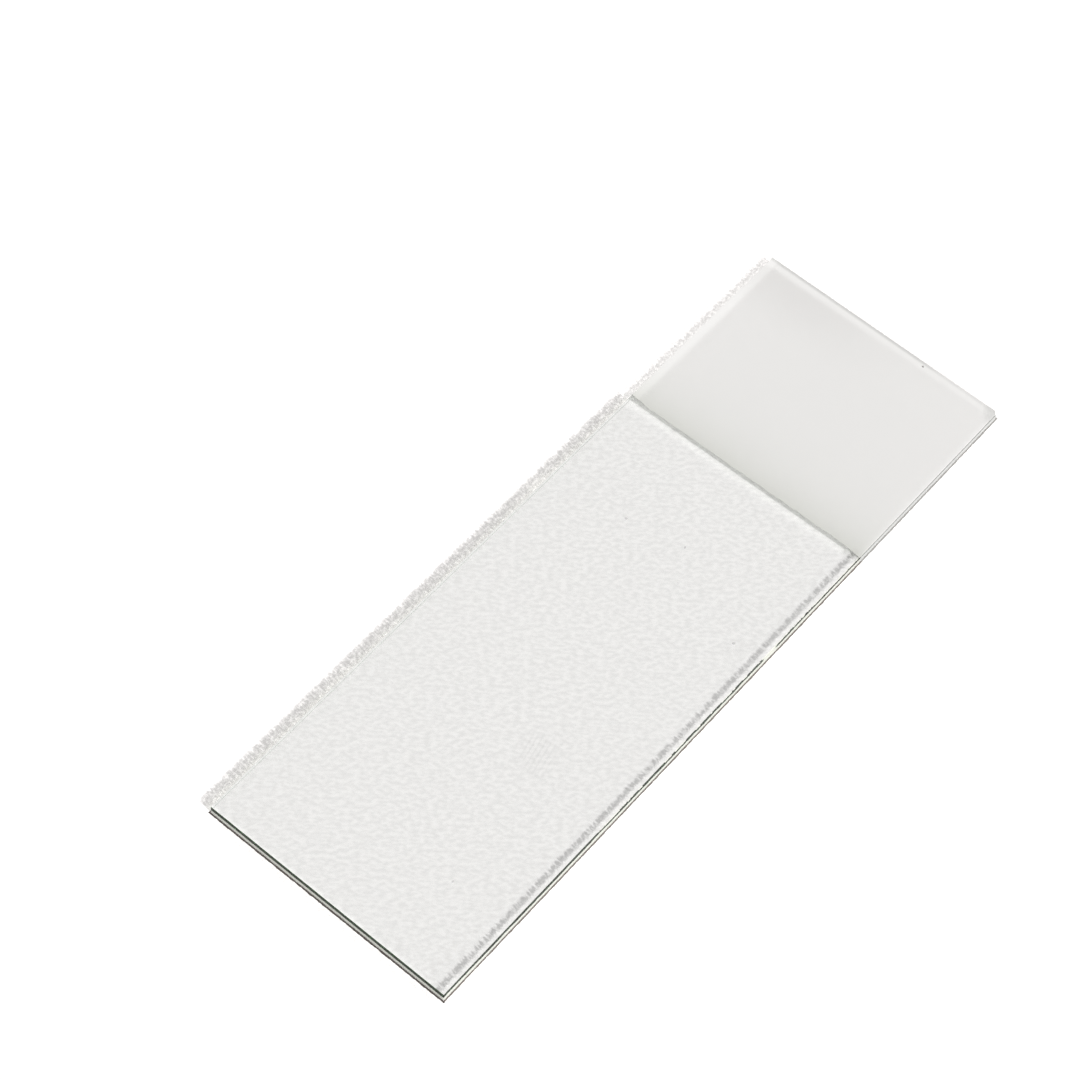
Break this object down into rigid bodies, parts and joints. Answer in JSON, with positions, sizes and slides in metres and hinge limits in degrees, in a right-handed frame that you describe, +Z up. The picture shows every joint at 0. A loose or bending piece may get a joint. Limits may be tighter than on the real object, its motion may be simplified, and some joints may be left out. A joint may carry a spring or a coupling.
{
  "type": "microscope slide",
  "caption": "Thin flat glass slide with cut edges, square corners and a frosted area for a pencil label at one end.",
  "frame": {"origin": "centre of the underside, which lies on z = 0", "axes": "+X along the length towards the frosted end, +Y across the width, +Z up out of the top face, which is the frosted side"},
  "size_m": [0.076, 0.026, 0.001],
  "materials": {
    "glass": "polished clear faces, matt frosted end, clean green cut edges"
  },
  "bodies": {
    "root": {"slide": "glass"}
  },
  "joints": []
}
